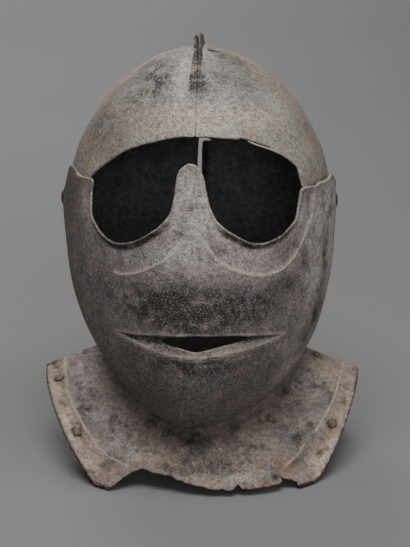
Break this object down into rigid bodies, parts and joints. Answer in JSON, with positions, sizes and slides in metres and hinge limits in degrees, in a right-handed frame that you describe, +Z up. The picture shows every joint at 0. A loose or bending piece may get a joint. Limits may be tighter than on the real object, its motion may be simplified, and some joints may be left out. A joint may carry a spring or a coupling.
{
  "type": "closed helmet with mask visor",
  "caption": "Closed iron helmet with a low comb, a one-piece face mask that pivots at the temples, and flared collar plates.",
  "frame": {"origin": "on the floor under the middle of the helmet's box", "axes": "+Z up through the crown, the mask looks along -Y, +X towards the wearer's left side"},
  "size_m": [0.2384, 0.2528, 0.3124],
  "materials": {
    "skull_iron": "old hammered iron, grey-brown patina, finely pitted",
    "face_iron": "old iron, darker brown patina with blue-grey spots, finely pitted",
    "collar_iron": "rusted iron, grey-mauve with tan worn rims and orange rust",
    "rivet_iron": "dark brown rusted iron"
  },
  "bodies": {
    "skull": {"skull_left": "skull_iron", "skull_right": "skull_iron", "gorget_rear": "collar_iron", "pivot_left": "rivet_iron", "pivot_right": "rivet_iron", "nape_rivet_left": "rivet_iron", "nape_rivet_right": "rivet_iron"},
    "visor": {"face_plate": "face_iron", "gorget_front": "collar_iron", "border_rivet_left_upper": "rivet_iron", "border_rivet_left_lower": "rivet_iron", "border_rivet_right_lower": "rivet_iron", "border_rivet_right_upper": "rivet_iron", "field_rivet_left": "rivet_iron", "field_rivet_right": "rivet_iron", "collar_rivet_left": "rivet_iron", "collar_rivet_right": "rivet_iron"}
  },
  "joints": [
    {"name": "visor_pivot", "type": "hinge", "parent": "skull", "child": "visor", "pos_m": [-0.00203, -0.00622, 0.19], "axis": [-1, 0, 0], "range_deg": [0, 45]}
  ]
}
